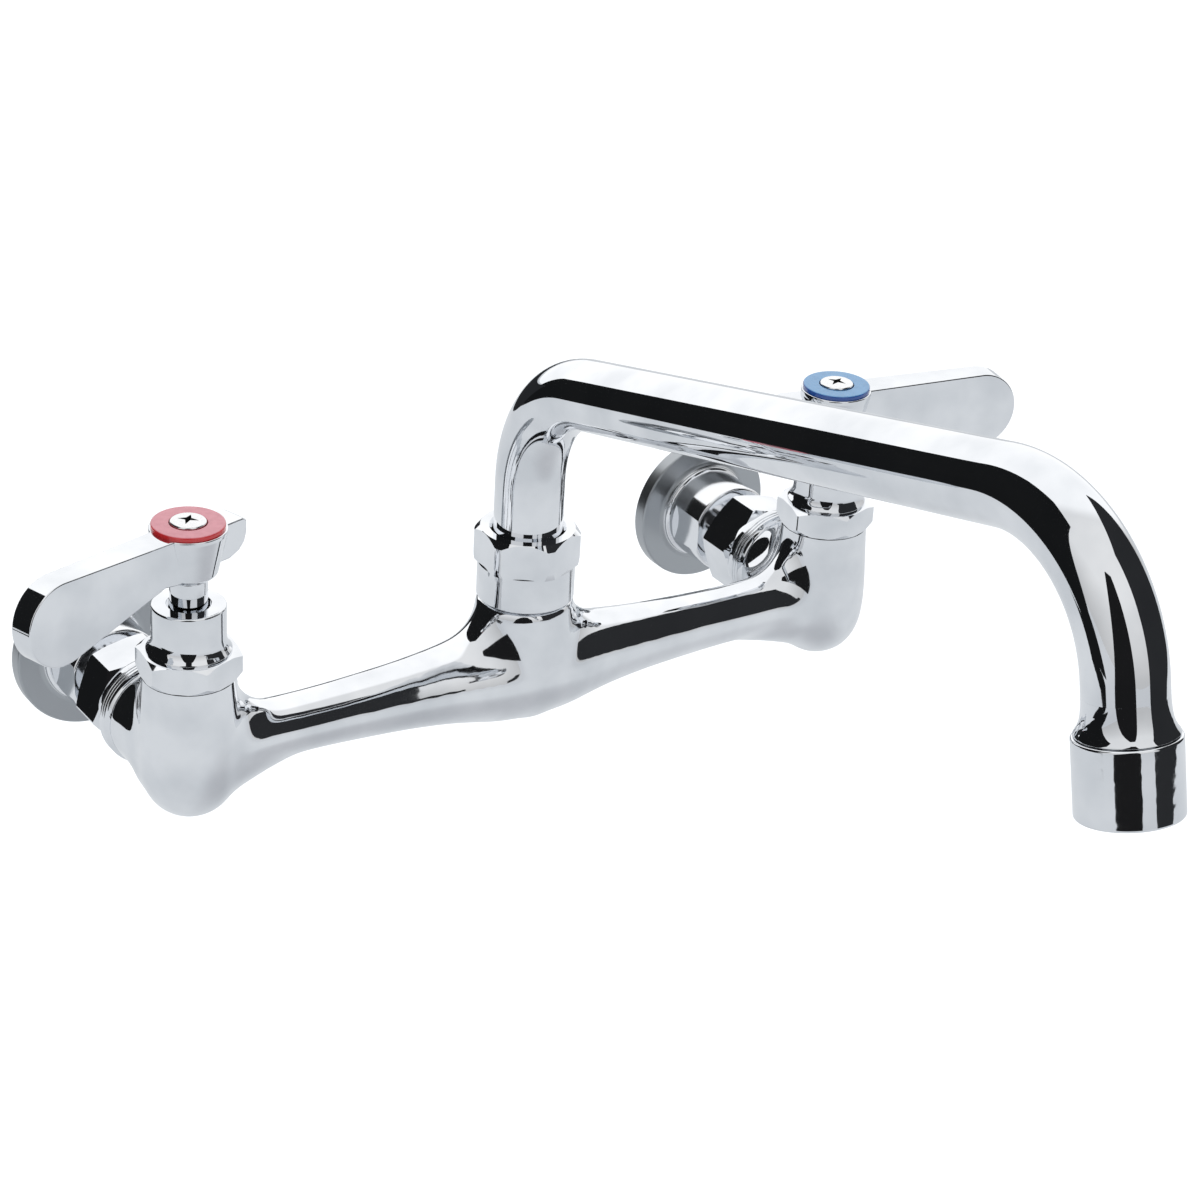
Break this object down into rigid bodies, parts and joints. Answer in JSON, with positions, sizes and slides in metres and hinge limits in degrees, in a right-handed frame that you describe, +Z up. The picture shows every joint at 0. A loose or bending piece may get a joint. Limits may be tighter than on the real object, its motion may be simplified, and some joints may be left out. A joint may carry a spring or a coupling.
{
  "type": "wall-mounted sink faucet",
  "caption": "Wall-mounted sink faucet: chrome body with beaded unions and quarter-turn lever valves at both ends, and a long spout that swings on its hub.",
  "frame": {"origin": "on the finished wall, midway between the two inlets, at the height of their axes", "axes": "+X along the body from the hot side to the cold side, +Y into the wall, +Z up; the spout reaches out along -Y"},
  "size_m": [0.3129, 0.3157, 0.1664],
  "materials": {
    "chrome": "polished",
    "brass": "satin",
    "stainless": "bright",
    "rubber": "matte",
    "acetal": "satin",
    "ceramic": "polished",
    "hot_index": "gloss",
    "cold_index": "gloss"
  },
  "bodies": {
    "body": {"body_casting": "chrome", "spout_nut": "chrome", "lower_swivel_washer": "acetal", "upper_swivel_washer": "acetal", "hot_wall_flange": "chrome", "hot_inlet_washer": "rubber", "hot_retaining_ring": "stainless", "hot_coupling_nut": "chrome", "hot_seat_seal": "rubber", "hot_fixed_disc": "ceramic", "hot_cartridge_body": "brass", "hot_guide_bush": "acetal", "hot_bonnet": "chrome", "cold_wall_flange": "chrome", "cold_inlet_washer": "rubber", "cold_retaining_ring": "stainless", "cold_coupling_nut": "chrome", "cold_seat_seal": "rubber", "cold_fixed_disc": "ceramic", "cold_cartridge_body": "brass", "cold_guide_bush": "acetal", "cold_bonnet": "chrome"},
    "spout": {"spout_tailpiece": "brass", "lower_spout_o_ring": "rubber", "upper_spout_o_ring": "rubber", "spout_tube": "chrome", "outlet_ferrule": "chrome", "aerator_housing": "chrome", "aerator_gasket": "rubber", "aerator_insert": "acetal", "aerator_screen": "stainless"},
    "hot_valve": {"hot_moving_disc": "ceramic", "hot_stem": "chrome", "hot_stem_o_ring": "rubber", "hot_handle": "chrome", "hot_index_button": "hot_index", "hot_handle_screw": "stainless"},
    "cold_valve": {"cold_moving_disc": "ceramic", "cold_stem": "chrome", "cold_stem_o_ring": "rubber", "cold_handle": "chrome", "cold_index_button": "cold_index", "cold_handle_screw": "stainless"}
  },
  "joints": [
    {"name": "spout_swing", "type": "hinge", "parent": "body", "child": "spout", "pos_m": [0, -0.064, 0.034], "axis": [0, 0, 1], "range_deg": [-100, 100]},
    {"name": "hot_lever_turn", "type": "hinge", "parent": "body", "child": "hot_valve", "pos_m": [-0.1016, -0.064, 0.034], "axis": [0, 0, 1], "range_deg": [0, 90]},
    {"name": "cold_lever_turn", "type": "hinge", "parent": "body", "child": "cold_valve", "pos_m": [0.1016, -0.064, 0.034], "axis": [0, 0, -1], "range_deg": [0, 90]}
  ]
}
